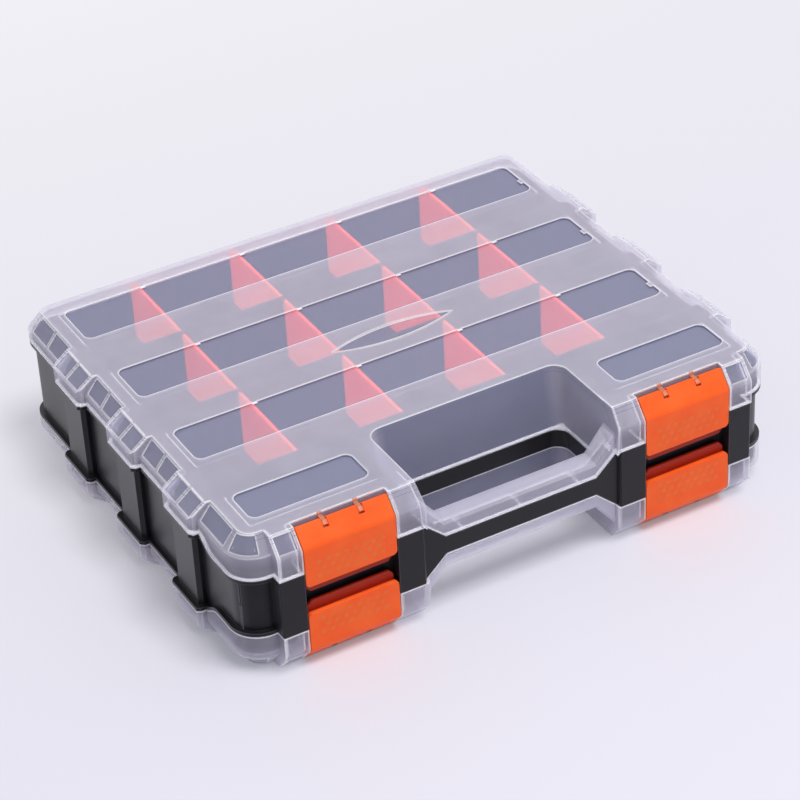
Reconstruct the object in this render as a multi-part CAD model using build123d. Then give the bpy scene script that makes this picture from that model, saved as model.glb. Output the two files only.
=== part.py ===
from build123d import *
import math
import os

# Double-sided parts box: one black tray moulding open above and below, a clear lid on
# each side hinged at the back, four latches at the front and loose dividers in the rows.
# X runs along the front edge, Y points to the hinges, Z up. The part is drawn about its
# middle plane, upper half first, and stood on its lower lid at the end.

# Overall sizes, millimetres
box_width = 320.0  # over the side bays
box_depth = 267.0  # latch faces to hinge clips
box_height = 81.0  # over both closed lids

# Outline
bay_depth = 4.6  # side bay in front of the side wall
bay_length = 31.0
bay_corner = 2.0
front_corner = 16.0
back_corner = 14.0
hinge_stand_off = 1.3  # hinge axis behind the rim
housing_depth = 6.5  # latch housing in front of the corner face
housing_margin = 18.2  # side wall to latch housing
housing_width = 80.2

# Where tray and lid meet, half heights of the black band
rim_side = 23.85
rim_front = 16.9
rim_grip = 5.1
rim_bend_start = 34.5  # the rim rises between these two depths, from the latch faces
rim_bend_end = 53.5

# Walls and clearances
wall = 1.6
floor_wall = 1.8
lid_wall = 1.8
flange_out = 2.6  # flange in front of the tray wall
flange_wall = 1.8
rim_gap = 0.2  # lid rim above its flange
nest_play = 0.5  # lid wall to tray wall

# Rows and dividers
front_cells = 64.6  # latch faces to the front row wall
row_count = 3
cells_in_row = 5
row_wall_gap = 0.4  # under the lid
divider_wall = 1.8
divider_play = 0.2
divider_gap = 0.3  # under the window panes
divider_shoulder = 5.0  # corner of the back row's dividers, under the lid's shoulder
guide_wall = 1.2  # ribs that hold a divider
guide_reach = 1.3

# Lid roof
shoulder_rise = 10.1
shoulder_run = 8.1
bay_shoulder_rise = 7.5
bay_shoulder_run = 9.8
housing_shoulder_rise = 9.8
housing_shoulder_run = 8.5
lip_height = 4.95  # tray wall that stands inside the lid
strip_width = 35.4  # frosted strip over a row wall
window_corner = 4.5
window_sink = 1.5
pane_wall = 1.7
window_side_margin = 9.7
window_back_margin = 11.4
window_front_margin = 12.6
window_grip_margin = 15.3
tab_length = 4.0
tab_reach = 2.0
lens_length = 70.0
lens_width = 12.4
lens_sink = 0.5
lens_ring = 0.8  # raised line round the lens
lens_groove = 0.7  # groove round that line
pip_width = 3.0  # stops over the divider ends, at the back of each window
pip_reach = 1.2
pip_sink = 0.3

# Sunken clear panels in the lid's shoulders
panel_sink = 0.5
panel_margin = 1.4
panel_rib = 2.2
panel_corner_turn = 14.0  # degrees left plain at each end of a corner

# Grip hole and bar
grip_margin = 3.5  # housing side to grip hole, at the black band
grip_spread = 3.3  # wider at the lid face
grip_depth = 50.1  # latch faces to the back of the hole
grip_slope = 7.2
grip_corner = 8.0
bar_face = 2.4  # bar front behind the latch faces
bar_depth = 12.8
bar_ramp_run = 13.0  # from the bar's level part to the housing
bar_cover_top = 14.0
bar_ramp_top = 30.0
bar_rib_inset = 10.0  # outer ribs from the ends of the level part
bar_bevel = 1.4

# Latches
latch_width = 50.4
latch_margin = 13.6  # housing side to latch bay
latch_wall = 2.0
latch_end = 8.2  # height of the free end
latch_bend = 4.0
latch_corner = 2.5
latch_side_play = 0.5
latch_drop = 0.7  # top edge under the lid face
pivot_down = 2.8  # along the shoulder from the top edge
pivot_in = 2.3
rod_radius = 1.4
rod_flat = 1.1  # two flats, from the centre
rod_play = 0.07
barrel = 2.3  # half the height of the rib that carries the rod
clip_wall = 1.2
clip_width = 2.4
clip_side_play = 0.35
clip_pitch = 19.6
clip_sides = 8
clip_mouth = 2.25  # narrower than the rod, which snaps in
clip_foot = 8.0  # foot of a clip under the rod
latch_room = 12.0  # latch face to the wall behind it
recess_depth = 7.0  # finger recess in the tray
catch_out = 1.8
catch_top = 13.0
catch_height = 2.5
catch_margin = 4.0
catch_edge = 1.0  # upright edge of the catch
catch_play = 0.3
tongue_wall = 1.6
tongue_end = 3.0
tongue_margin = 1.2
tongue_root = 2.8  # over the hook
cheek_reach = 3.4
cheek_wall = 1.6
cheek_low = 6.0  # over the free end
cheek_flare = 4.0

# Lid hinges
hinge_margin = 59.4  # side wall to the middle of a hinge
pin_radius = 1.25
pin_flat = 1.0  # two flats, from the centre
pin_play = 0.06
ring_wall = 1.4
ring_length = 26.0
ring_side_play = 0.6
lug_wall = 3.0
lug_nose = 2.3  # lug outside the pin centre
lug_foot = 9.2  # under the pin centre, at the wall
hinge_drop = 2.85  # axis under the rim
ring_root = 7.2  # web of a ring over the rim

# Derived places
half_height = box_height / 2
front_y = -box_depth / 2
ring_radius = pin_radius + pin_play + ring_wall
hinge_y = box_depth / 2 - ring_radius
hinge_z = rim_side - hinge_drop
back_y = hinge_y - hinge_stand_off
corner_y = front_y + housing_depth
side_x = box_width / 2 - bay_depth
hinge_places = (hinge_margin - side_x, side_x - hinge_margin)
housing_outer = side_x - housing_margin
housing_inner = housing_outer - housing_width
rim_bend_back = front_y + rim_bend_end
rim_bend_front = front_y + rim_bend_start
inner_x = side_x - flange_out - wall
inner_back = back_y - flange_out - wall
lip_top = rim_side + lip_height
pane_top = half_height - window_sink
pane_under = pane_top - pane_wall
roof_under = half_height - lid_wall
divider_top = pane_under - divider_gap
row_wall_top = roof_under - row_wall_gap
row_pitch = (inner_back + wall / 2 - front_y - front_cells) / row_count
row_wall_ys = [inner_back + wall / 2 - row_pitch * (n + 1) for n in range(row_count)]
row_length = row_pitch - wall
cell_width = 2 * inner_x / cells_in_row
divider_xs = [cell_width * (n + 1) - inner_x for n in range(cells_in_row - 1)]
bay_back = front_y + latch_room
tray_front = bay_back + lid_wall + nest_play
recess_back = front_y + recess_depth
latch_bay_half = latch_width / 2 + latch_side_play
latch_middle = housing_outer - latch_margin - latch_bay_half
bay_side = latch_middle + latch_bay_half + lid_wall + nest_play
bar_front = front_y + bar_face
bar_back = bar_front + bar_depth
bar_half_length = housing_inner - bar_ramp_run
bar_rib_pitch = bar_half_length - bar_rib_inset
grip_half_width = housing_inner - grip_margin
grip_half_width_top = grip_half_width + grip_spread
grip_back = front_y + grip_depth
grip_back_top = grip_back + grip_slope
far = box_width
past = 1.0  # how far a cutter runs past a face
same = 0.01  # points nearer than this are one


def slab(plan, low, high):
    return Pos(0, 0, low) * extrude(plan, amount=high - low)


def block(x0, x1, y0, y1, z0, z1):
    centre = Pos((x0 + x1) / 2, (y0 + y1) / 2, (z0 + z1) / 2)
    return centre * Box(x1 - x0, y1 - y0, z1 - z0)


def rect(x0, x1, y0, y1, corner=0.0):
    shape = RectangleRounded(x1 - x0, y1 - y0, corner) if corner else Rectangle(x1 - x0, y1 - y0)
    return Pos((x0 + x1) / 2, (y0 + y1) / 2) * shape


# A face drawn with depth and height as its two directions, drawn out along X
def cross_piece(outline, x0, x1):
    return Pos(x0, 0, 0) * extrude(Plane.YZ * outline, amount=x1 - x0)


def side_piece(points, x0, x1):
    return cross_piece(make_face(Polyline(*points, close=True)), x0, x1)


# Section of a pin with two flats, which a mould that opens straight can make
def flattened(radius, flat):
    return Circle(radius) & Rectangle(2 * radius, 2 * flat)


# Section of a clip or a hinge ring, flat sided outside and in its bore
def ring_section(radius):
    return RegularPolygon(radius, clip_sides, major_radius=False, rotation=180 / clip_sides)


# A plan with some of its corners turned in three flats each, as near to round as shows there
def in_flats(plan, corners, radius):
    eighth, sixteenth = math.tan(math.pi / 8), math.tan(math.pi / 16)
    old = [v.center() for v in plan.vertices()]
    plan = chamfer(corners, radius * (1 - eighth))
    fresh = [v for v in plan.vertices() if min((v.center() - place).length for place in old) > same]
    return chamfer(fresh, radius * (eighth - sixteenth))


def both_sides(shape):
    return shape + mirror(shape, about=Plane.YZ)


def both_halves(shape):
    return shape + mirror(shape, about=Plane.XY)


# Plan outlines

def base_plan(inset):
    x, y0, y1 = side_x - inset, corner_y + inset, back_y - inset
    plan = rect(-x, x, y0, y1)
    plan = fillet(plan.vertices().group_by(Axis.Y)[0], front_corner - inset)
    return fillet(plan.vertices().group_by(Axis.Y)[-1], back_corner - inset)


def bay_plan(y, inset):
    half = bay_length / 2 - inset
    outer = box_width / 2 - inset
    return chamfer(rect(-outer, outer, y - half, y + half).vertices(), bay_corner)


def tray_plan(inset):
    plan = base_plan(inset)
    for y in row_wall_ys:
        plan += bay_plan(y, inset)
    return plan


# Everything above the line where tray and lid meet, lifted by a small amount

def above_rim(lift):
    high, low = rim_side + lift, rim_front + lift
    middle = (rim_bend_back + rim_bend_front) / 2
    bend = Bezier((rim_bend_back, high), (middle, high), (middle, low), (rim_bend_front, low))
    outline = bend + Polyline(bend @ 1, (-far, low), (-far, far), (far, far), (far, high), bend @ 0)
    return cross_piece(make_face(outline), -far, far)


# The well round the grip hole: tapered, open to the front, wider towards the lid face,
# round where it shows and sharp behind

def well(grow, corner=0.0):
    def level(half, back, height):
        face = rect(-half - grow, half + grow, -far, back + grow)
        face = fillet(face.vertices().group_by(Axis.Y)[-1], corner) if corner else face
        return Pos(0, 0, height) * face
    low = level(grip_half_width, grip_back, rim_grip)
    high = level(grip_half_width_top, grip_back_top, half_height)
    return loft([low, high], ruled=True)


# Tray, upper half

def flange():
    ring = slab(tray_plan(0) - tray_plan(flange_out), 0, half_height)
    ring -= block(-housing_inner, housing_inner, front_y, grip_back, 0, half_height)
    return (ring & above_rim(-flange_wall)) - above_rim(0)


def row_spaces():
    spaces = []
    for y in row_wall_ys:
        plan = rect(-inner_x, inner_x, y + wall / 2, y + wall / 2 + row_length)
        if y == row_wall_ys[0]:
            plan = in_flats(plan, plan.vertices().group_by(Axis.Y)[-1], back_corner - flange_out - wall)
        spaces.append(slab(plan, floor_wall / 2, half_height))
    return spaces


def bay_spaces():
    spaces = []
    outer = box_width / 2 - flange_out - wall
    for y in row_wall_ys:
        half = bay_length / 2 - flange_out - wall
        for low, top in ((y - half, y - wall / 2), (y + wall / 2, y + half)):
            spaces.append(block(0, outer, low, top, floor_wall / 2, half_height))
    return [both_sides(space - block(0, inner_x - past, -far, far, 0, far)) for space in spaces]


def front_space():
    inner = grip_half_width + lid_wall + nest_play + wall
    top = row_wall_ys[-1] - wall / 2
    plan = rect(inner, inner_x, tray_front + wall, top)
    corner = rect(bay_side + wall, inner_x, corner_y + flange_out + wall, top)
    vertex = corner.vertices().group_by(Axis.Y)[0].sort_by(Axis.X)[-1]
    plan += in_flats(corner, [vertex], front_corner - flange_out - wall)
    space = slab(plan, floor_wall / 2, half_height)
    return both_sides(space - well(lid_wall + nest_play + wall))


def dead_space():
    shell = lid_wall + nest_play + wall
    half = grip_half_width + shell - wall
    back = row_wall_ys[-1] - wall / 2 - wall
    space = block(-half, half, grip_back + shell, back, floor_wall / 2, half_height)
    return space - well(shell)


def housing():
    body = slab(rect(housing_inner, housing_outer, front_y, tray_front), 0, rim_front)
    body = chamfer(body.edges().filter_by(Axis.Z).group_by(Axis.Y)[0], wall / 2)
    low, high = floor_wall / 2, rim_front
    x0, x1 = latch_middle - latch_bay_half, latch_middle + latch_bay_half
    body -= block(x0, x1, front_y, recess_back, 0, high)
    pocket_back = tray_front - wall
    body -= block(x0, x1, recess_back + wall, pocket_back, low, high)
    body -= block(housing_inner + wall, x0 - wall, front_y + wall, pocket_back, low, high)
    body -= block(x1 + wall, housing_outer - wall, front_y + wall, pocket_back, low, high)
    return both_sides(body + catch())


def catch():
    tip = recess_back - catch_out
    low = catch_top - catch_height
    points = [
        (recess_back, low), (tip, low), (tip, low + catch_edge), (recess_back, catch_top),
    ]
    reach = latch_width / 2 - catch_margin
    return side_piece(points, latch_middle - reach, latch_middle + reach)


# Outline of the bar seen from the front, with level top and ramps up to the housings

def bar_outline(level, ramp, bottom):
    half, end = bar_half_length, housing_inner + wall
    rise = (end - housing_inner) * (ramp - level) / (housing_inner - half)
    points = [
        (-end, bottom), (end, bottom), (end, ramp + rise), (half, level), (-half, level), (-end, ramp + rise),
    ]
    return Plane.XZ * make_face(Polyline(*points, close=True))


def along_bar(outline, y0, y1):
    return Pos(0, y1, 0) * extrude(outline, amount=y1 - y0)


def grip_bar():
    bar = along_bar(bar_outline(rim_grip, rim_front, 0), bar_front, bar_back)
    hollow = along_bar(bar_outline(rim_grip, rim_grip, floor_wall / 2), bar_front + wall, bar_back - wall)
    return bar - (hollow & block(-bar_half_length, bar_half_length, -far, far, 0, far))


def row_walls():
    low_x = inner_x + wall / 2
    slope = shoulder_run / shoulder_rise
    top_x = low_x - (row_wall_top - lip_top) * slope
    points = [(-low_x, 0), (low_x, 0), (low_x, lip_top), (top_x, row_wall_top), (-top_x, row_wall_top),
              (-low_x, lip_top)]
    outline = Plane.XZ * make_face(Polyline(*points, close=True))
    return [Pos(0, y + wall / 2, 0) * extrude(outline, amount=wall) for y in row_wall_ys]


# Pairs of ribs on both long walls of a row, one pair at each end of a divider

def divider_guides():
    plan = Sketch()
    gap = divider_wall / 2 + divider_play
    for y in row_wall_ys:
        for x in divider_xs:
            for side in (-1, 1):
                inner, outer = x + side * gap, x + side * (gap + guide_wall)
                x0, x1 = min(inner, outer), max(inner, outer)
                low, top = y + wall / 2, y + wall / 2 + row_length
                plan += rect(x0, x1, low - wall / 2, low + guide_reach)
                plan += rect(x0, x1, top - guide_reach, top + wall / 2)
    return slab(plan, 0, lip_top)


def hinge_lugs():
    lugs = []
    ring_room = ring_length / 2 + ring_side_play
    wall_y = back_y - flange_out - wall / 2
    nose = lug_nose / 2
    outline = [
        (wall_y, hinge_z - lug_foot), (hinge_y + lug_nose, hinge_z - nose),
        (hinge_y + lug_nose, hinge_z + nose), (hinge_y + nose, hinge_z + lug_nose),
        (wall_y, hinge_z + lug_nose),
    ]
    for x in hinge_places:
        for side in (-1, 1):
            x0 = x + side * (ring_room + lug_wall / 2) - lug_wall / 2
            lugs.append(side_piece(outline, x0, x0 + lug_wall))
        pin = Pos(hinge_y, hinge_z) * flattened(pin_radius, pin_flat)
        reach = ring_room + lug_wall / 2
        lugs.append(cross_piece(pin, x - reach, x + reach))
    return lugs


def hinge_notches():
    half = ring_length / 2 + ring_side_play
    low, high = hinge_z - ring_radius, rim_side + rim_gap
    return [block(x - half, x + half, back_y - flange_out, far, low, high) for x in hinge_places]


def tray_half():
    half = slab(tray_plan(flange_out), 0, lip_top)
    half += flange()
    half -= row_spaces() + bay_spaces() + [front_space(), dead_space()]
    half += row_walls()
    half += divider_guides()
    half -= block(-bay_side, bay_side, front_y, tray_front, 0, far)
    half -= block(-housing_inner, housing_inner, front_y, bar_back, 0, far)
    half += housing()
    half -= well(lid_wall + nest_play)
    half -= slab(rect(-grip_half_width, grip_half_width, bar_back, grip_back, grip_corner), 0, half_height)
    half += grip_bar()
    half -= hinge_notches()
    half += hinge_lugs()
    return half


# Lid, drawn as the upper one

def roof(inset):
    plan = base_plan(inset)
    knee = half_height - shoulder_rise
    turn = math.degrees(math.atan(shoulder_run / shoulder_rise))
    drop = inset * (1 - math.sin(math.radians(turn))) / math.cos(math.radians(turn))
    low = slab(plan, 0, knee - drop)
    top = half_height - inset
    return low + Pos(0, 0, knee - drop) * extrude(plan, amount=top - knee + drop, taper=turn)


def bay_roof(inset):
    outer, top = box_width / 2 - inset, half_height - inset
    rise, run = bay_shoulder_rise, bay_shoulder_run
    angle = math.atan2(rise, run)
    drop = inset * math.tan(angle / 2)
    points = [(0, 0), (outer, 0), (outer, half_height - rise - drop), (outer - run + drop, top), (0, top)]
    outline = Plane.XZ * make_face(Polyline(*points, close=True))
    length = bay_length - 2 * inset
    shape = extrude(outline, amount=length / 2, both=True)
    shape = chamfer(shape.edges().filter_by(Axis.Z).group_by(Axis.X)[-1], bay_corner)
    return [Pos(0, y, 0) * both_sides(shape) for y in row_wall_ys]


def housing_roof(inset):
    top, knee = half_height - inset, half_height - housing_shoulder_rise
    front = front_y + inset
    angle = math.atan2(housing_shoulder_rise, housing_shoulder_run)
    drop = inset * math.tan(angle / 2)
    points = [(corner_y + 2 * housing_depth, 0), (front, 0), (front, knee - drop),
              (front + housing_shoulder_run - drop, top), (corner_y + 2 * housing_depth, top)]
    outline = round_knee(make_face(Polyline(*points, close=True)), knee - drop, latch_bend - inset)
    return both_sides(cross_piece(outline, housing_inner - wall, housing_outer - inset))


def latch_bay(grow):
    half = latch_bay_half + grow
    return both_sides(block(latch_middle - half, latch_middle + half, -far, bay_back + grow, 0, far))


def lid_form(inset):
    form = roof(inset)
    form += bay_roof(inset)
    form += housing_roof(inset)
    return form - well(inset, 0.0 if inset else grip_corner) - latch_bay(inset)


def windows():
    edge_x = side_x - shoulder_run
    half = edge_x - window_side_margin
    edges = [back_y - shoulder_run - window_back_margin]
    for y in row_wall_ys:
        edges += [y + strip_width / 2, y - strip_width / 2]
    rows = [(-half, half, low, top) for top, low in zip(edges[0:-1:2], edges[1::2])]
    inner = grip_half_width_top + window_grip_margin
    front = (bay_back + window_front_margin, edges[-1])
    return rows + [(-half, -inner, *front), (inner, half, *front)]


# Thin clear panes, sunk into the roof and standing down from it inside
def panes(lid):
    for x0, x1, y0, y1 in windows():
        g = lid_wall
        pane = slab(rect(x0 - g, x1 + g, y0 - g, y1 + g), pane_under, roof_under)
        plan = rect(x0, x1, y0, y1)
        lid = lid + pane - slab(in_flats(plan, plan.vertices(), window_corner), pane_top, half_height)
    return lid


# One small tab at the right end of each long window
def window_tabs():
    tabs = []
    for x0, x1, y0, y1 in windows()[:row_count]:
        low = y0 + (y1 - y0 - tab_length) / 3
        tabs.append(block(x1 - tab_reach, x1 + past, low, low + tab_length, pane_under, half_height))
    return tabs


# Stops that keep the dividers down, one over each divider at the back edge of a window
def divider_pips():
    pips = []
    for x0, x1, y0, y1 in windows()[:row_count]:
        for x in divider_xs:
            low, high = x - pip_width / 2, x + pip_width / 2
            pips.append(block(low, high, y1 - pip_reach, y1 + past, pane_under, half_height - pip_sink))
    return pips


def lens_plan(grow):
    half, depth = lens_length / 2 + grow, lens_width / 2 + grow
    radius = (half * half + depth * depth) / (2 * depth)
    return Pos(0, radius - depth) * Circle(radius) & Pos(0, depth - radius) * Circle(radius)


# Pointed clear spot in the middle strip, with a raised line round it
def lens():
    plan = lens_plan(0) + (lens_plan(lens_ring + lens_groove) - lens_plan(lens_ring))
    return Pos(0, row_wall_ys[1], half_height - lens_sink) * extrude(plan, amount=past)


# Depths between which each shoulder panel lies: two in each gap and two on each bay
def gap_panels():
    half = bay_length / 2
    ends = [back_y - back_corner]
    for y in row_wall_ys:
        ends += [y + half, y - half]
    spans = []
    for back, front in zip(ends[0::2], ends[1::2]):
        spans += split_in_two(front + panel_margin, back - panel_margin)
    return spans + [(corner_y + front_corner + panel_margin, ends[-1] - panel_margin)]


def bay_panels():
    half = bay_length / 2 - bay_corner
    return [span for y in row_wall_ys for span in split_in_two(y - half, y + half)]


def split_in_two(low, high):
    middle = (low + high) / 2
    return [(low, middle - panel_rib / 2), (middle + panel_rib / 2, high)]


# Wedge over a rounded front corner
def corner_panel(low, high):
    centre_x, centre_y = side_x - front_corner, corner_y + front_corner
    reach = 2 * front_corner
    rays = []
    for turn in (panel_corner_turn, 45, 90 - panel_corner_turn):
        angle = math.radians(turn)
        rays.append((centre_x + reach * math.cos(angle), centre_y - reach * math.sin(angle)))
    return slab(make_face(Polyline((centre_x, centre_y), *rays, close=True)), low, high)


def shoulder_panels():
    top = half_height - panel_margin
    inside = side_x - front_corner
    low = half_height - shoulder_rise + panel_margin
    places = [block(inside, far, y0, y1, low, top) for y0, y1 in gap_panels()]
    places.append(corner_panel(low, top))
    low = half_height - bay_shoulder_rise + panel_margin / 2
    places += [block(inside, far, y0, y1, low, half_height - panel_margin / 2) for y0, y1 in bay_panels()]
    low = half_height - housing_shoulder_rise + panel_margin
    x0 = latch_middle + latch_bay_half + lid_wall
    places.append(block(x0, housing_outer - lid_wall, front_y, tray_front, low, top))
    skin = lid_form(0) - lid_form(panel_sink)
    return [skin & both_sides(place) for place in places]


def bar_cover():
    form = along_bar(bar_outline(bar_cover_top, bar_ramp_top, 0), bar_front, bar_back)
    crest = form.edges().filter_by(lambda e: e.center().Z > bar_cover_top - bar_bevel)
    middle = (bar_front + bar_back) / 2
    form = chamfer([e for e in crest if abs(e.center().Y - middle) > bar_bevel], bar_bevel)
    inside = bar_outline(bar_cover_top - lid_wall, bar_ramp_top - lid_wall, 0)
    hollow = along_bar(inside, bar_front + lid_wall, bar_back - lid_wall)
    for x in (-bar_rib_pitch, 0, bar_rib_pitch):
        hollow -= block(x - wall / 2, x + wall / 2, -far, far, 0, far)
    cover = (form - hollow) & block(-housing_inner, housing_inner, -far, far, 0, far)
    return cover - bar_room()


# Room that the lid leaves round the tray's bar
def bar_room():
    return along_bar(bar_outline(rim_grip + rim_gap, rim_front + rim_gap, 0), -far, bar_back + nest_play)


# Clip of the lid round the rod of a latch, with its mouth to the front

def pivot_place():
    run, rise = housing_shoulder_run, housing_shoulder_rise
    length = math.hypot(run, rise)
    top_y = front_y + run - latch_drop * run / rise
    top_z = half_height - latch_drop
    y = top_y - pivot_down * run / length + pivot_in * rise / length
    z = top_z - pivot_down * rise / length - pivot_in * run / length
    return top_y, top_z, y, z


def latch_clips():
    top_y, top_z, y, z = pivot_place()
    outer = rod_radius + rod_play + clip_wall
    bore = Pos(y, z) * ring_section(rod_radius + rod_play)
    root = bay_back + lid_wall / 2
    points = [(y, z + outer), (root, z + outer), (root, z - clip_foot), (y, z - outer)]
    stem = make_face(Polyline(*points, close=True))
    mouth = Pos(y - outer, z) * Rectangle(2 * outer, clip_mouth)
    outline = Pos(y, z) * ring_section(outer) + stem - bore - mouth
    clips = []
    for side in (-1, 1):
        x = latch_middle + side * clip_pitch / 2
        clips.append(both_sides(cross_piece(outline, x - clip_width / 2, x + clip_width / 2)))
    return clips


def hinge_rings():
    rings = []
    outer = ring_radius
    root = back_y - lid_wall / 2
    side = hinge_y + outer - ring_wall / 2
    points = [(root, hinge_z), (root, rim_side + ring_root), (side, rim_side), (side, hinge_z)]
    web = make_face(Polyline(*points, close=True))
    bore = Pos(hinge_y, hinge_z) * ring_section(pin_radius + pin_play)
    mouth = Pos(hinge_y - outer, hinge_z - outer) * Rectangle(2 * outer, 2 * outer)
    outline = Pos(hinge_y, hinge_z) * ring_section(outer) + web - bore - mouth
    for x in hinge_places:
        rings.append(cross_piece(outline, x - ring_length / 2, x + ring_length / 2))
    return rings


def lid_shape():
    lid = lid_form(0) - lid_form(lid_wall)
    skirt = block(-housing_inner, housing_inner, -far, grip_back_top + 2 * lid_wall, rim_grip + rim_gap, far)
    lid = (lid & above_rim(rim_gap)) + ((lid & skirt) - bar_room())
    lid = panes(lid)
    lid -= lens()
    lid -= shoulder_panels()
    lid += window_tabs() + divider_pips()
    lid += bar_cover()
    lid += latch_clips() + hinge_rings()
    return lid


# Latch, drawn for the upper right corner

def latch_shape():
    top_y, top_z, y, z = pivot_place()
    x0, x1 = latch_middle - latch_width / 2, latch_middle + latch_width / 2
    run, rise = housing_shoulder_run, housing_shoulder_rise
    knee = half_height - rise
    length = math.hypot(run, rise)
    in_y, in_z = latch_wall * rise / length, -latch_wall * run / length
    drop = latch_wall * math.tan(math.atan2(rise, run) / 2)
    front = front_y
    plate = [(top_y, top_z), (front, knee), (front, latch_end), (front + latch_wall, latch_end),
             (front + latch_wall, knee - drop), (top_y + in_y, top_z + in_z)]
    outline = make_face(Polyline(*plate, close=True))
    outline = round_knee(outline, knee, latch_bend)
    outline = round_knee(outline, knee - drop, latch_bend - latch_wall)
    latch = cross_piece(outline, x0, x1)
    latch = fillet(latch.edges().filter_by(Axis.Y).group_by(Axis.Z)[0], latch_corner)
    latch += block(x0, x1, y - barrel, y + barrel, z - barrel, z + barrel) & behind_plate()
    for x in (x0, x1 - cheek_wall):
        latch += latch_cheek(x)
    latch += latch_tongue()
    rod = Pos(y, z) * flattened(rod_radius, rod_flat)
    for side in (-1, 1):
        middle = latch_middle + side * clip_pitch / 2
        half = clip_width / 2 + clip_side_play
        latch -= cross_piece(clip_sweep(), middle - half, middle + half)
        latch += cross_piece(rod, middle - half, middle + half)
    return latch


# Room in which a clip turns, seen from the latch: round the rod, behind it and over it
def clip_sweep():
    top_y, top_z, y, z = pivot_place()
    reach = rod_radius + rod_play + clip_wall + clip_side_play
    sweep = Pos(y, z) * ring_section(reach)
    sweep += rect(y, y + 2 * reach, z - reach, top_z + past)
    return sweep + rect(y - 2 * reach, y + 2 * reach, z, top_z + past)


# Everything on the inner side of the latch's outer slope
def behind_plate():
    run, rise = housing_shoulder_run, housing_shoulder_rise
    top_y, top_z, y, z = pivot_place()
    low = (top_y - far * run / rise, top_z - far)
    return side_piece([(top_y, top_z), low, (far, top_z - far), (far, top_z)], 0, far)


def round_knee(outline, height, radius):
    knee = [v for v in outline.vertices() if abs(v.Y - height) < same]
    return fillet(knee, radius)


def latch_cheek(x):
    top_y, top_z, y, z = pivot_place()
    front = front_y + latch_wall / 2
    back = front_y + latch_wall + cheek_reach
    knee = half_height - housing_shoulder_rise
    low = latch_end + cheek_low
    points = [(front, low), (front, knee), (y - barrel, z), (y, z - barrel),
              (back, knee), (back, low + cheek_flare)]
    return side_piece(points, x, x + cheek_wall)


# Inner tongue that reaches past the free end, coved against the front lip

def latch_tongue():
    back = recess_back - catch_out - catch_play
    front = front_y + latch_wall / 2
    low = catch_top - catch_height - catch_play
    inner = back - tongue_wall
    points = [(front, low + tongue_root), (front, latch_end + tongue_wall),
              (inner, latch_end + tongue_wall / 2), (inner, tongue_end), (back, tongue_end),
              (back, low), (inner, low + tongue_wall)]
    reach = latch_width / 2 - tongue_margin
    tongue = side_piece(points, latch_middle - reach, latch_middle + reach)
    return chamfer(tongue.edges().filter_by(Axis.Y).group_by(Axis.Z)[0], latch_corner)


# The back row lies under the lid's shoulder
def divider_shape(row):
    half = row_length / 2 - divider_play
    low = floor_wall / 2 + divider_play / 2
    plate = rect(-half, half, low, divider_top)
    if row == 1:
        corner = plate.vertices().group_by(Axis.Y)[-1].sort_by(Axis.X)[-1]
        plate = chamfer(corner, divider_shoulder)
    return cross_piece(plate, -divider_wall / 2, divider_wall / 2)


def write(name, shape):
    os.makedirs("parts", exist_ok=True)
    export_step(Pos(0, 0, half_height) * shape, f"parts/{name}.step")


def main():
    lid, latch = lid_shape(), latch_shape()
    write("body", both_halves(tray_half()))
    for side, turned in (("top", False), ("bottom", True)):
        write(f"lid_{side}", mirror(lid, about=Plane.XY) if turned else lid)
        placed = mirror(latch, about=Plane.XY) if turned else latch
        write(f"latch_{side}_right", placed)
        write(f"latch_{side}_left", mirror(placed, about=Plane.YZ))
        for row, y in enumerate(row_wall_ys, 1):
            divider = Pos(0, y + wall / 2 + row_length / 2, 0) * divider_shape(row)
            divider = mirror(divider, about=Plane.XY) if turned else divider
            for place, x in enumerate(divider_xs, 1):
                write(f"divider_{side}_{row}_{place}", Pos(x, 0, 0) * divider)


main()
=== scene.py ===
# A flat parts box with lids on both faces, dressed for the studio.
# Everything is in metres in the box's own frame: X along the front edge, Y to the hinges, Z up.
import math
import bmesh
import bpy
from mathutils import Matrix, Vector


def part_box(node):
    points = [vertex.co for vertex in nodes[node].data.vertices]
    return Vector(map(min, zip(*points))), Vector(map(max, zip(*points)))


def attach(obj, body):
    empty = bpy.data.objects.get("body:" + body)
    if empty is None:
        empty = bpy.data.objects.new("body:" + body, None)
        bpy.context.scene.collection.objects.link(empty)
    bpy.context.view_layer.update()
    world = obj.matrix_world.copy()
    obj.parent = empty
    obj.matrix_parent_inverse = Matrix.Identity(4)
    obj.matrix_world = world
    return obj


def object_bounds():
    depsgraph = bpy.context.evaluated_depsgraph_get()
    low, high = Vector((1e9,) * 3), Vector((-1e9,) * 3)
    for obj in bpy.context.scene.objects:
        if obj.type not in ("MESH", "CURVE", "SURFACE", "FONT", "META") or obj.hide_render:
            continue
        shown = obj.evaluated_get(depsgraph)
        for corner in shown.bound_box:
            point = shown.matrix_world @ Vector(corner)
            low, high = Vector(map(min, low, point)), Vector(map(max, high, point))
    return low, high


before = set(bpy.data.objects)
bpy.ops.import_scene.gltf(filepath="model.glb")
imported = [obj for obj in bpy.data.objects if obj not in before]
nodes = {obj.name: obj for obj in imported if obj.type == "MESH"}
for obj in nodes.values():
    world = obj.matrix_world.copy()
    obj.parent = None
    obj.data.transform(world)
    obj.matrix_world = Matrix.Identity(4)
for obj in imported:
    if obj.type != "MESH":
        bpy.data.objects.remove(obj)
cadLow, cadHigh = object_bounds()
mm = 0.001
middleHeight = (cadLow.z + cadHigh.z) / 2
frontY = cadLow.y
plasticIor = 1.49   # of polypropylene, which all the mouldings are made of
print("frame loaded:", len(nodes), "nodes")


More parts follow.
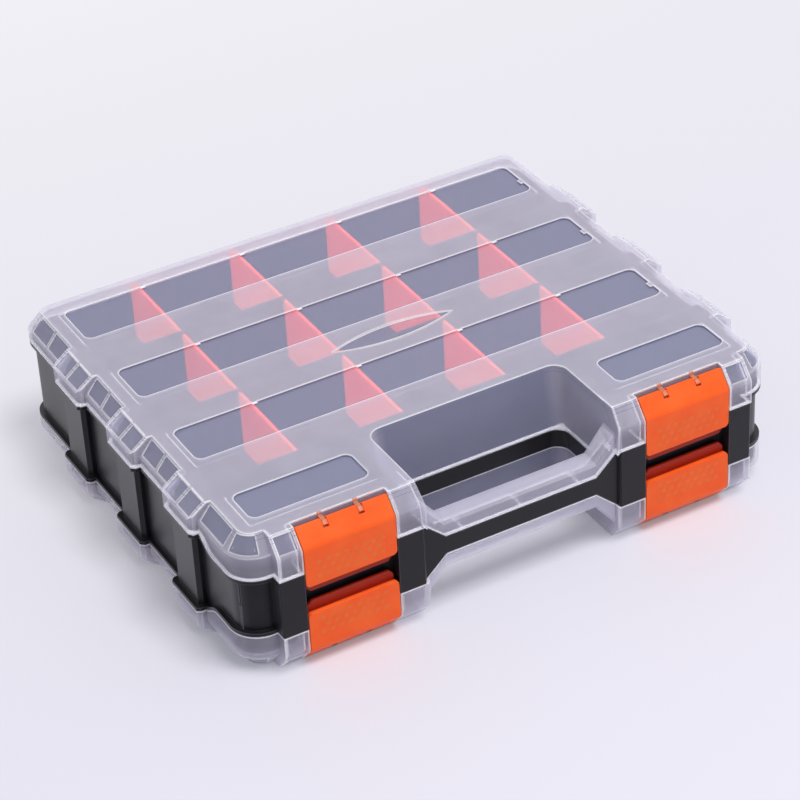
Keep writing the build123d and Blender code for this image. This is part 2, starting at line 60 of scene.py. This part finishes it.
# A screen colour as the light value that the shaders take
def linear(hexText):
    channels = [int(hexText[i:i + 2], 16) / 255 for i in (1, 3, 5)]
    return tuple(c / 12.92 if c <= 0.04045 else ((c + 0.055) / 1.055) ** 2.4 for c in channels) + (1.0,)


# Adds one node with its settings, socket values and links, and gives the output to go on from.
# A Mix node's sockets go by number: 0 is the share, 2 and 3 are its values, 6 and 7 its colours.
def add(tree, kind, inputs=(), out=0, **settings):
    made = tree.nodes.new("ShaderNode" + kind)
    for name, value in settings.items():
        setattr(made, name, value)
    for name, value in inputs.items() if isinstance(inputs, dict) else enumerate(inputs):
        if isinstance(value, bpy.types.NodeSocket):
            tree.links.new(value, made.inputs[name])
        else:
            made.inputs[name].default_value = value
    return made.outputs if out is None else made.outputs[out]


def newMaterial(name):
    material = bpy.data.materials.new(name)
    material.use_nodes = True
    material.node_tree.nodes.clear()
    return material, material.node_tree


# 1 along outward edges, within a given distance of them, and 0 on flat skin. The range says
# how full of plastic it is round an edge that starts to count, and round one that counts fully.
def outwardEdge(tree, look):
    flat, sharp = look["edgeRange"]
    fullness = add(tree, "AmbientOcclusion", {"Distance": look["edgeWidth"]}, out=1,
                   inside=True, only_local=True, samples=6)
    return add(tree, "MapRange", {"Value": fullness, "From Min": flat, "From Max": sharp})


# The skin's direction with soft mould corners and a fine grain
def mouldedNormal(tree, place, look):
    soft = add(tree, "Bevel", {"Radius": look["corner"]}, samples=4)
    grain = add(tree, "TexNoise", {"Vector": place, "Scale": 1 / look["grain"], "Detail": 1.0})
    return add(tree, "Bump", {"Height": grain, "Distance": look["relief"], "Strength": 0.5, "Normal": soft})


# Black polypropylene, injection moulded in a spark eroded steel mould.
# The erosion leaves a fine grain that breaks the gloss into a soft sheen.
trayFinish = {
    "colour": "#121115",
    "cloudColour": "#18171C",
    "cloudRange": (0.35, 0.7),
    "edgeHighlightGrey": "#5A5962",     # painted highlight: a paler grey laid along the outward edges, where they catch the light
    "edgeWidth": 0.55 * mm,
    "edgeRange": (0.92, 0.6),
    "trayHighlightShare": 0.55,
    "roughness": (0.32, 0.44),
    "sheen": (0.22, 0.8),    # reflects little face on and more along its skin
    "sheenFacing": (0.25, 0.65),
    "grain": 0.6 * mm,       # the real grain is about 0.1 mm, drawn coarser so that it shows
    "cloud": 30 * mm,
    "relief": 0.03 * mm,
    "corner": 0.5 * mm,      # soft corner that a mould leaves
}


def erodedBlackPolypropylene():
    look = trayFinish
    material, tree = newMaterial("erodedBlackPolypropylene")
    place = add(tree, "TexCoord", out="Object")
    cloud = add(tree, "TexNoise", {"Vector": place, "Scale": 1 / look["cloud"], "Detail": 2.0})
    low, high = look["cloudRange"]
    field = add(tree, "Mix", {
        0: add(tree, "MapRange", {"Value": cloud, "From Min": low, "From Max": high}),
        6: linear(look["colour"]), 7: linear(look["cloudColour"]),
    }, out=2, data_type="RGBA")
    # Painted highlight: the outward edges are coloured a paler grey
    edge = add(tree, "Math", [outwardEdge(tree, look), look["trayHighlightShare"]], operation="MULTIPLY")
    colour = add(tree, "Mix", {0: edge, 6: field, 7: linear(look["edgeHighlightGrey"])}, out=2, data_type="RGBA")
    (front, side), (low, high) = look["sheenFacing"], look["sheen"]
    sheen = add(tree, "MapRange", {
        "Value": add(tree, "LayerWeight", {"Blend": 0.5}, out="Facing"),
        "From Min": front, "From Max": side, "To Min": low, "To Max": high})
    low, high = look["roughness"]
    skin = add(tree, "BsdfPrincipled", {
        "Base Color": colour, "IOR": plasticIor, "Specular IOR Level": sheen,
        "Roughness": add(tree, "MapRange", {"Value": cloud, "To Min": low, "To Max": high}),
        "Normal": mouldedNormal(tree, place, look),
    })
    add(tree, "OutputMaterial", {"Surface": skin}, out=None)
    return material


# Clear polypropylene, injection moulded: milky where the mould was blasted and see-through
# where it was polished, in the sunken panes and panels and round the grip. Looked at along
# its skin it covers more and turns whiter, and its outward edges get a painted highlight, coloured near
# white.
lidFinish = {
    "milk": "#D4D0E2",
    "clearMilk": "#C6C8EA",
    # painted highlight colour of the edges, the rim and the tops of the stops
    "highlightWhite": "#F8F7FD",
    "cover": (0.38, 0.48),   # share of what is behind it that the frosted outer skin hides
    "clearCover": 0.29,
    "farShare": 0.25,        # how much of that the far side of a wall still adds
    "skirtShare": 0.62,      # the walls under the shoulders cover less than the roof
    "wellShare": 1.0,        # and the walls round the grip hole as much
    # the painted highlights on the edges, the rim and the stops' tops are laid on nearly opaque
    "edgeCover": 0.85,
    "lineCover": 0.95,
    "edgeWidth": 1.2 * mm,
    "edgeRange": (0.98, 0.74),
    "rimHighlight": 0.7 * mm,     # height of the painted highlight line along the lower rim
    "barEdges": 0.35,        # how much of their painted highlight edges keep in the bar's cover
    "panelEdges": 0.2,       # and in the sunken panels
    "clip": "#F0946C",       # painted light: the clips are coloured with the orange that the latch round them throws onto them
    "clipCover": 0.6,
    "grazing": 0.9,          # how much more it covers towards its outline
    "shade": 0.35,           # milky plastic scatters light forward, so it shades less than it hides
    "roughness": 0.36,
    "clearRoughness": 0.16,
    "wander": 0.6,           # share of the light that wanders in the plastic, and how far it gets
    "depth": 4.0 * mm,
    "cloud": 24 * mm,
    "grain": 0.7 * mm,       # blasted grain, drawn coarser than its 0.05 mm so that it shows
    "relief": 0.016 * mm,
    "corner": 0.5 * mm,
}

# Places on the lids. Heights are from the box's middle plane, since the lower lid mirrors the
# upper one, and sides from its middle, since its halves mirror each other.
lid = {
    "levels": (39.0 * mm, 37.3 * mm, 40.0 * mm),   # top and underside of the panes, floor of the lens
    "stops": 40.2 * mm,                            # painted highlight on the tops of the low stops over the dividers
    "roofHalf": (138.7 * mm, 111.0 * mm),          # the flat roof with its windows
    "panelHeights": (31.5 * mm, 39.95 * mm),
    "cornerX": 139.4 * mm,                         # centre of the rounded front corners
    "cornerY": -111.0 * mm,
    "sideSlope": (0.7801, 0.0, 0.6256, 139.75 * mm),   # direction and distance of each sunken panel
    "baySlope": (0.6077, 0.0, 0.7941, 122.95 * mm),
    "housingSlope": (0.0, -0.7554, 0.6552, 120.46 * mm),
    "slack": 0.1 * mm,                             # a skin this near to a plane or level lies on it
    "skirt": (24.0 * mm, 33.0 * mm),               # the shoulders end between these heights
    "rimFront": 17.1 * mm,                         # the rim's height in front, at the sides, at the grip
    "rimSide": 24.05 * mm,
    "rimGrip": 5.3 * mm,
    "rimBend": (-99.0 * mm, -80.0 * mm),           # it rises to the sides between these
    "barRamp": (44.0 * mm, 57.0 * mm),             # and from the bar to the front between these
    "barHalf": 57.2 * mm,
    "barBack": -118.3 * mm,
    "wellHalf": 58.0 * mm,                         # the walls round the grip hole
    "wellBack": -75.5 * mm,
    "wellTop": 40.3 * mm,
    "wellSides": (46.0 * mm, 54.0 * mm),           # where the polish of its back wall fades
    "latchMiddle": 97.9 * mm,
    "clipMiddle": 9.8 * mm,                        # on either side of the latch's middle
    "clipHalf": 1.3 * mm,
    "clipBack": -120.8 * mm,
    "clipFoot": 32.0 * mm,
}


# 1 where each first value is under its second
def where(tree, *pairs):
    share = 1.0
    for pair in pairs:
        under = add(tree, "Math", pair, operation="LESS_THAN")
        share = add(tree, "Math", [share, under], operation="MULTIPLY")
    return share


# 1 in the sunken panels of the sides, the rounded corners, the bays and the latch housings
def sunkenPanels(tree, x, depth, z):
    outX = add(tree, "Math", [x, lid["cornerX"]], operation="SUBTRACT")
    outX = add(tree, "Math", [outX, 0.0], operation="MAXIMUM")
    outY = add(tree, "Math", [lid["cornerY"], depth], operation="SUBTRACT")
    outY = add(tree, "Math", [outY, 0.0], operation="MAXIMUM")
    outward = add(tree, "CombineXYZ", [outX, outY])
    turned = add(tree, "VectorMath", [outward], out="Value", operation="LENGTH")
    reach = add(tree, "Math", [turned, lid["cornerX"]], operation="ADD")
    straight = add(tree, "CombineXYZ", [x, depth, z])
    rounded = add(tree, "CombineXYZ", [reach, depth, z])
    panels = 0.0
    for along, slope in ((rounded, "sideSlope"), (straight, "baySlope"), (straight, "housingSlope")):
        *direction, distance = lid[slope]
        out = add(tree, "VectorMath", [along, direction], out="Value", operation="DOT_PRODUCT")
        there = add(tree, "Math", [out, distance, lid["slack"]], operation="COMPARE")
        panels = add(tree, "Math", [panels, there], operation="MAXIMUM")
    low, high = lid["panelHeights"]
    return add(tree, "Math", [panels, where(tree, (z, high), (low, z))], operation="MULTIPLY")


# 1 on the painted highlight line along the lower rim, which runs from the high sides to the low front
def rimHighlight(tree, x, depth, z, inWell, inBar):
    front, back = lid["rimBend"]
    rim = add(tree, "MapRange", {
        "Value": depth, "From Min": front, "From Max": back,
        "To Min": lid["rimFront"], "To Max": lid["rimSide"],
    }, interpolation_type="SMOOTHERSTEP")
    start, end = lid["barRamp"]
    ramp = add(tree, "MapRange", {
        "Value": x, "From Min": start, "From Max": end,
        "To Min": lid["rimGrip"], "To Max": lid["rimFront"],
    })
    rim = add(tree, "Mix", {0: inWell, 2: rim, 3: lid["rimGrip"]})
    rim = add(tree, "Mix", {0: inBar, 2: rim, 3: ramp})
    overRim = add(tree, "Math", [z, rim], operation="SUBTRACT")
    return where(tree, (overRim, lidFinish["rimHighlight"]))


# 1 on the two clips that hold each latch
def latchClips(tree, x, depth, z):
    fromLatch = add(tree, "Math", [x, lid["latchMiddle"]], operation="SUBTRACT")
    fromLatch = add(tree, "Math", [fromLatch], operation="ABSOLUTE")
    fromClip = add(tree, "Math", [fromLatch, lid["clipMiddle"]], operation="SUBTRACT")
    fromClip = add(tree, "Math", [fromClip], operation="ABSOLUTE")
    return where(tree, (fromClip, lid["clipHalf"]), (depth, lid["clipBack"]), (lid["clipFoot"], z))


# Shares from 0 to 1 of the lid's skin: how polished it is, how much painted highlight its edges take,
# where it carries painted highlight along the rim and the stops' tops, how much its walls cover, and where
# its clips are
def lidShares(tree, place):
    side, depth, height = add(tree, "SeparateXYZ", [place], out=None)
    x = add(tree, "Math", [side], operation="ABSOLUTE")
    y = add(tree, "Math", [depth], operation="ABSOLUTE")
    fromMiddle = add(tree, "Math", [height, middleHeight], operation="SUBTRACT")
    z = add(tree, "Math", [fromMiddle], operation="ABSOLUTE")
    inWell = where(tree, (x, lid["wellHalf"]), (depth, lid["wellBack"]), (z, lid["wellTop"]))
    inBar = where(tree, (x, lid["barHalf"]), (depth, lid["barBack"]))
    offBar = add(tree, "Math", [1.0, inBar], operation="SUBTRACT")
    wellWalls = add(tree, "Math", [inWell, offBar], operation="MULTIPLY")
    clips = latchClips(tree, x, depth, z)

    start, end = lid["wellSides"]
    fading = add(tree, "MapRange", {
        "Value": x, "From Min": start, "From Max": end, "To Min": 1.0, "To Max": 0.0})
    clearWell = add(tree, "Math", [wellWalls, fading], operation="MULTIPLY")
    clear = add(tree, "Math", [sunkenPanels(tree, x, depth, z), clearWell], operation="MAXIMUM")
    for level in lid["levels"]:
        there = add(tree, "Math", [z, level, lid["slack"]], operation="COMPARE")
        clear = add(tree, "Math", [clear, there], operation="MAXIMUM")
    halfX, halfY = lid["roofHalf"]
    sunk = where(tree, (x, halfX), (y, halfY), (inWell, 0.5), (z, lid["wellTop"]))

    # Painted highlight on the edges: weaker in the bar's cover and the panels, none on the clips or on the
    # roof with its panes
    white = add(tree, "Mix", {0: inBar, 2: 1.0, 3: lidFinish["barEdges"]})
    white = add(tree, "Mix", {0: clips, 2: white, 3: 0.0})
    plain = add(tree, "MapRange", {"Value": clear, "To Min": 1.0, "To Max": lidFinish["panelEdges"]})
    white = add(tree, "Math", [white, plain], operation="MULTIPLY")
    overPanes = add(tree, "Math", [1.0, sunk], operation="SUBTRACT")
    white = add(tree, "Math", [white, overPanes], operation="MULTIPLY")
    clear = add(tree, "Math", [clear, sunk], operation="MAXIMUM")

    # Painted highlight on the tops of the stops and along the lower rim
    stops = add(tree, "Math", [z, lid["stops"], lid["slack"]], operation="COMPARE")
    rim = rimHighlight(tree, x, depth, z, inWell, inBar)
    highlightLines = add(tree, "Math", [stops, rim], operation="MAXIMUM")

    low, high = lid["skirt"]
    walls = add(tree, "MapRange", {
        "Value": z, "From Min": low, "From Max": high, "To Min": lidFinish["skirtShare"], "To Max": 1.0})
    walls = add(tree, "Mix", {0: inBar, 2: walls, 3: 1.0})
    walls = add(tree, "Mix", {0: wellWalls, 2: walls, 3: lidFinish["wellShare"]})
    return clear, white, highlightLines, walls, clips


# The share of what is behind the lid's skin that it hides, less for a shadow than for the eye
def lidCover(tree, frosted, clear, edge, highlightLines, walls, clips):
    look = lidFinish
    base = add(tree, "Mix", {0: clear, 2: frosted, 3: look["clearCover"]})
    farSide = add(tree, "NewGeometry", out="Backfacing")
    near = add(tree, "MapRange", {"Value": farSide, "To Min": 1.0, "To Max": look["farShare"]})
    base = add(tree, "Math", [base, near], operation="MULTIPLY")
    base = add(tree, "Math", [base, walls], operation="MULTIPLY")
    facing = add(tree, "LayerWeight", {"Blend": 0.3}, out="Facing")
    outline = add(tree, "Math", [facing, look["grazing"], 1.0], operation="MULTIPLY_ADD")
    skinCover = add(tree, "Math", [base, outline], operation="MULTIPLY")
    edgeCover = add(tree, "Math", [edge, look["edgeCover"]], operation="MULTIPLY")
    cover = add(tree, "Math", [skinCover, edgeCover], operation="MAXIMUM")
    lineCover = add(tree, "Math", [highlightLines, look["lineCover"]], operation="MULTIPLY")
    cover = add(tree, "Math", [cover, lineCover], operation="MAXIMUM")
    cover = add(tree, "Mix", {0: clips, 2: cover, 3: look["clipCover"]})
    shadowRay = add(tree, "LightPath", out="Is Shadow Ray")
    shade = add(tree, "MapRange", {"Value": shadowRay, "To Min": 1.0, "To Max": look["shade"]})
    return add(tree, "Math", [cover, shade], operation="MULTIPLY", use_clamp=True)


def blastedClearPolypropylene():
    look = lidFinish
    material, tree = newMaterial("blastedClearPolypropylene")
    place = add(tree, "TexCoord", out="Object")
    clear, white, highlightLines, walls, clips = lidShares(tree, place)
    edge = add(tree, "Math", [outwardEdge(tree, look), white], operation="MULTIPLY")
    cloud = add(tree, "TexNoise", {"Vector": place, "Scale": 1 / look["cloud"], "Detail": 2.0})
    low, high = look["cover"]
    frosted = add(tree, "MapRange", {"Value": cloud, "To Min": low, "To Max": high})
    cover = lidCover(tree, frosted, clear, edge, highlightLines, walls, clips)
    field = add(tree, "Mix", {
        0: clear, 6: linear(look["milk"]), 7: linear(look["clearMilk"]),
    }, out=2, data_type="RGBA")
    # Painted highlight: edges, the rim and the stops' tops are coloured near white
    highlightMask = add(tree, "Math", [edge, highlightLines], operation="MAXIMUM")
    colour = add(tree, "Mix", {0: highlightMask, 6: field, 7: linear(look["highlightWhite"])}, out=2, data_type="RGBA")
    # Painted light: the clips take on the latch's orange
    colour = add(tree, "Mix", {0: clips, 6: colour, 7: linear(look["clip"])}, out=2, data_type="RGBA")
    skin = add(tree, "BsdfPrincipled", {
        "Base Color": colour, "IOR": plasticIor, "Alpha": cover,
        "Roughness": add(tree, "Mix", {0: clear, 2: look["roughness"], 3: look["clearRoughness"]}),
        "Subsurface Weight": look["wander"],
        "Subsurface Radius": (look["depth"],) * 3, "Subsurface Scale": 1.0,
        "Normal": mouldedNormal(tree, place, look),
    })
    add(tree, "OutputMaterial", {"Surface": skin}, out=None)
    return material


# Orange polypropylene of the latches, moulded: a satin skin with a little light inside it
latchFinish = {
    "colour": "#FF661E",
    "cloudColour": "#FC5A10",
    "cloudRange": (0.3, 0.7),
    "inside": "#A02208",     # painted shade: a deep red behind the latch's plate, where little light gets
    "insideDepth": (2.02 * mm, 3.2 * mm),
    "shoulder": 27.0 * mm,   # under the latch's sloping top, from the middle plane
    "sheen": 0.3,
    "roughness": (0.36, 0.48),
    "wander": 0.3,
    "depths": (1.6 * mm, 0.5 * mm, 0.2 * mm),
    "grain": 0.5 * mm,
    "cloud": 12 * mm,
    "relief": 0.02 * mm,
    "corner": 0.7 * mm,
}

# The bumps on the latches, a little paler than the plate round them
bumpFinish = dict(latchFinish, colour="#FF7230", cloudColour="#FF6A26", corner=0.05 * mm)


def satinOrangePolypropylene(look):
    material, tree = newMaterial("satinOrangePolypropylene")
    place = add(tree, "TexCoord", out="Object")
    cloud = add(tree, "TexNoise", {"Vector": place, "Scale": 1 / look["cloud"], "Detail": 2.0})
    low, high = look["cloudRange"]
    outside = add(tree, "Mix", {
        0: add(tree, "MapRange", {"Value": cloud, "From Min": low, "From Max": high}),
        6: linear(look["cloudColour"]), 7: linear(look["colour"]),
    }, out=2, data_type="RGBA")
    axes = add(tree, "SeparateXYZ", [place], out=None)
    near, far = look["insideDepth"]
    behind = add(tree, "MapRange", {
        "Value": axes["Y"], "From Min": frontY + near, "From Max": frontY + far})
    fromMiddle = add(tree, "Math", [axes["Z"], middleHeight], operation="SUBTRACT")
    fromMiddle = add(tree, "Math", [fromMiddle], operation="ABSOLUTE")
    underSlope = add(tree, "Math", [fromMiddle, look["shoulder"]], operation="LESS_THAN")
    behind = add(tree, "Math", [behind, underSlope], operation="MULTIPLY")
    # Painted shade: deep red behind the plate and under the sloping top
    colour = add(tree, "Mix", {0: behind, 6: outside, 7: linear(look["inside"])}, out=2, data_type="RGBA")
    low, high = look["roughness"]
    skin = add(tree, "BsdfPrincipled", {
        "Base Color": colour, "IOR": plasticIor, "Specular IOR Level": look["sheen"],
        "Roughness": add(tree, "MapRange", {"Value": cloud, "To Min": low, "To Max": high}),
        "Subsurface Weight": look["wander"],
        "Subsurface Radius": look["depths"], "Subsurface Scale": 1.0,
        "Normal": mouldedNormal(tree, place, look),
    })
    add(tree, "OutputMaterial", {"Surface": skin}, out=None)
    return material


# Orange-red polypropylene of the loose dividers, thin plates that shine with painted light: they emit a
# little of their own colour under any light, for the light they pass on from behind
dividerFinish = {
    "colour": "#FF5428",
    "cloudColour": "#FF6C40",
    "cloudRange": (0.2, 0.9),
    "paintedGlow": 0.52,            # painted light: a steady emission for the light that a thin plate passes on from behind
    "roughness": (0.34, 0.44),
    "wander": 0.8,
    "depths": (4.0 * mm, 2.5 * mm, 2.0 * mm),
    "cloud": 15 * mm,
    "grain": 0.6 * mm,
    "relief": 0.015 * mm,
    "corner": 0.35 * mm,
}


def mouldedDividerPolypropylene():
    look = dividerFinish
    material, tree = newMaterial("mouldedDividerPolypropylene")
    place = add(tree, "TexCoord", out="Object")
    cloud = add(tree, "TexNoise", {"Vector": place, "Scale": 1 / look["cloud"], "Detail": 2.0})
    low, high = look["cloudRange"]
    colour = add(tree, "Mix", {
        0: add(tree, "MapRange", {"Value": cloud, "From Min": low, "From Max": high}),
        6: linear(look["colour"]), 7: linear(look["cloudColour"]),
    }, out=2, data_type="RGBA")
    low, high = look["roughness"]
    skin = add(tree, "BsdfPrincipled", {
        "Base Color": colour, "IOR": plasticIor,
        "Roughness": add(tree, "MapRange", {"Value": cloud, "To Min": low, "To Max": high}),
        "Subsurface Weight": look["wander"],
        "Subsurface Radius": look["depths"], "Subsurface Scale": 1.0,
        # Painted light: the plate emits its own colour
        "Emission Color": colour, "Emission Strength": look["paintedGlow"],
        "Normal": mouldedNormal(tree, place, look),
    })
    add(tree, "OutputMaterial", {"Surface": skin}, out=None)
    return material


def dress(names, material):
    for name in names:
        mesh = nodes[name].data
        mesh.materials.clear()
        mesh.materials.append(material)


latchNames = sorted(name for name in nodes if name.startswith("latch"))
dividerNames = sorted(name for name in nodes if name.startswith("divider"))
bumpOrange = satinOrangePolypropylene(bumpFinish)
dress(["body"], erodedBlackPolypropylene())
dress(["lid_top", "lid_bottom"], blastedClearPolypropylene())
dress(latchNames, satinOrangePolypropylene(latchFinish))
dress(dividerNames, mouldedDividerPolypropylene())
print("materials on")


# Rows of low bumps on the lower half of each latch, for the fingertip
grip = {
    "rows": 3,
    "perRow": 8,
    "pitch": 5.0 * mm,
    "rowPitch": 4.2 * mm,
    "radius": 1.4 * mm,
    "rise": 0.08 * mm,
    "foot": 0.02 * mm,       # how far it starts inside the plate
    "firstRow": 13.0 * mm,   # over the middle plane
    "sides": 14,
    "rings": 4,
}


# A low dome on the latch's front: rings that narrow to its tip, closed by a flat foot
def addBump(mesh, x, z):
    rings = []
    for ring in range(grip["rings"]):
        turn = ring / grip["rings"] * math.pi / 2
        radius = grip["radius"] * math.cos(turn)
        y = frontY + grip["foot"] - grip["rise"] * math.sin(turn)
        steps = [2 * math.pi * k / grip["sides"] for k in range(grip["sides"])]
        places = [(x + radius * math.cos(a), y, z + radius * math.sin(a)) for a in steps]
        rings.append([mesh.verts.new(place) for place in places])
    tip = mesh.verts.new((x, frontY - grip["rise"], z))
    for k in range(grip["sides"]):
        after = (k + 1) % grip["sides"]
        for lower, upper in zip(rings, rings[1:]):
            mesh.faces.new((lower[k], lower[after], upper[after], upper[k]))
        mesh.faces.new((rings[-1][k], rings[-1][after], tip))
    mesh.faces.new(list(reversed(rings[0])))


def gripDots(latch):
    low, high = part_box(latch)
    up = 1 if (low.z + high.z) / 2 > middleHeight else -1
    middleX = (low.x + high.x) / 2
    mesh = bmesh.new()
    for row in range(grip["rows"]):
        z = middleHeight + up * (grip["firstRow"] + row * grip["rowPitch"])
        count = grip["perRow"] - row % 2
        for i in range(count):
            addBump(mesh, middleX + (i - (count - 1) / 2) * grip["pitch"], z)
    bmesh.ops.recalc_face_normals(mesh, faces=mesh.faces)
    for face in mesh.faces:
        face.smooth = True
    data = bpy.data.meshes.new(latch + "_grip_dots")
    mesh.to_mesh(data)
    mesh.free()
    data.materials.append(bumpOrange)
    dots = bpy.data.objects.new(latch + "_grip_dots", data)
    bpy.context.scene.collection.objects.link(dots)
    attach(dots, latch)


for latch in latchNames:
    gripDots(latch)
print("latch dots on")


# The studio: a pale floor, a soft lamp high over the front right and a white room round it
studio = {
    "floor": "#DAD9E3",
    "floorHalf": 4.0,
    "floorDrop": 0.2 * mm,       # the box lies this little above it
    "floorCloud": 0.4,
    "floorSheen": 0.25,
    "floorRoughness": (0.45, 0.55),
    "floorLight": "#F6F5F9",     # what the camera sees of the lit sweep, beside its shadows
    "floorShare": (0.2, 0.9),
    "floorReach": (-0.1, 0.7),   # that share grows between these, towards the back: painted light that lightens the floor and its shadows there
    "backdrop": "#F0EFF7",
    "fill": 0.50,                # strength of the room's light
    "fillColour": "#F1F3FF",
    "keyPower": 49.5,
    "keySize": 1.0,
    "keyPlace": (0.30, -0.85, 2.40),
    "keyAim": (0.0, 0.0, 0.03),
    "keyColour": (1.0, 0.985, 0.97),
}


# 1 for what the camera sees, straight or in a mirror or through a clear piece
def seenDirectly(tree):
    path = add(tree, "LightPath", out=None)
    mirrored = add(tree, "Math", [path["Is Glossy Ray"], path["Is Transmission Ray"]], operation="MAXIMUM")
    return add(tree, "Math", [path["Is Camera Ray"], mirrored], operation="MAXIMUM")


# Matt white lacquer of the sweep that the box lies on
def sweptWhiteLacquer():
    material, tree = newMaterial("sweptWhiteLacquer")
    place = add(tree, "TexCoord", out="Object")
    cloud = add(tree, "TexNoise", {"Vector": place, "Scale": 1 / studio["floorCloud"], "Detail": 2.0})
    low, high = studio["floorRoughness"]
    skin = add(tree, "BsdfPrincipled", {
        "Base Color": linear(studio["floor"]), "Specular IOR Level": studio["floorSheen"],
        "Roughness": add(tree, "MapRange", {"Value": cloud, "To Min": low, "To Max": high}),
    })
    lit = add(tree, "Emission", {"Color": linear(studio["floorLight"]), "Strength": 1.0})
    (near, far), (low, high) = studio["floorReach"], studio["floorShare"]
    depth = add(tree, "SeparateXYZ", [place], out="Y")
    # Painted light: the emitted share grows towards the back, lightening the floor and its shadows there
    share = add(tree, "MapRange", {
        "Value": depth, "From Min": near, "From Max": far, "To Min": low, "To Max": high})
    share = add(tree, "Math", [seenDirectly(tree), share], operation="MULTIPLY")
    mixed = add(tree, "MixShader", {0: share, 1: skin, 2: lit})
    add(tree, "OutputMaterial", {"Surface": mixed}, out=None)
    return material


def makeFloor():
    mesh = bmesh.new()
    bmesh.ops.create_grid(mesh, x_segments=8, y_segments=8, size=studio["floorHalf"])
    data = bpy.data.meshes.new("studio_floor")
    mesh.to_mesh(data)
    mesh.free()
    data.materials.append(sweptWhiteLacquer())
    floor = bpy.data.objects.new("studio_floor", data)
    floor.location.z = cadLow.z - studio["floorDrop"]
    bpy.context.scene.collection.objects.link(floor)


def makeLamp():
    data = bpy.data.lights.new("overhead", "AREA")
    data.shape, data.size = "SQUARE", studio["keySize"]
    data.energy, data.color = studio["keyPower"], studio["keyColour"]
    lamp = bpy.data.objects.new("overhead", data)
    lamp.location = studio["keyPlace"]
    aim = Vector(studio["keyAim"]) - Vector(studio["keyPlace"])
    lamp.rotation_euler = aim.to_track_quat("-Z", "Y").to_euler()
    bpy.context.scene.collection.objects.link(lamp)


def makeWorld():
    world = bpy.data.worlds.new("studio")
    bpy.context.scene.world = world
    world.use_nodes = True
    tree = world.node_tree
    tree.nodes.clear()
    fill = add(tree, "Background", {"Color": linear(studio["fillColour"]), "Strength": studio["fill"]})
    shown = add(tree, "Background", {"Color": linear(studio["backdrop"]), "Strength": 1.0})
    mixed = add(tree, "MixShader", {0: seenDirectly(tree), 1: fill, 2: shown})
    add(tree, "OutputWorld", {"Surface": mixed}, out=None)


makeFloor()
makeWorld()
makeLamp()


# The photograph's place and lens, worked out from the box's own edges
view = {
    "place": (-0.5956, -1.1293, 0.9128),
    "turn": (55.44, 2.65, -29.80),
    "lens": 130.85,
    "sensor": 36.0,
}


def makeCamera():
    data = bpy.data.cameras.new("camera")
    data.lens, data.sensor_width = view["lens"], view["sensor"]
    camera = bpy.data.objects.new("camera", data)
    camera.location = view["place"]
    camera.rotation_euler = [math.radians(angle) for angle in view["turn"]]
    bpy.context.scene.collection.objects.link(camera)
    bpy.context.scene.camera = camera


makeCamera()
bpy.context.scene.view_settings.view_transform = "Standard"
print("studio ready")
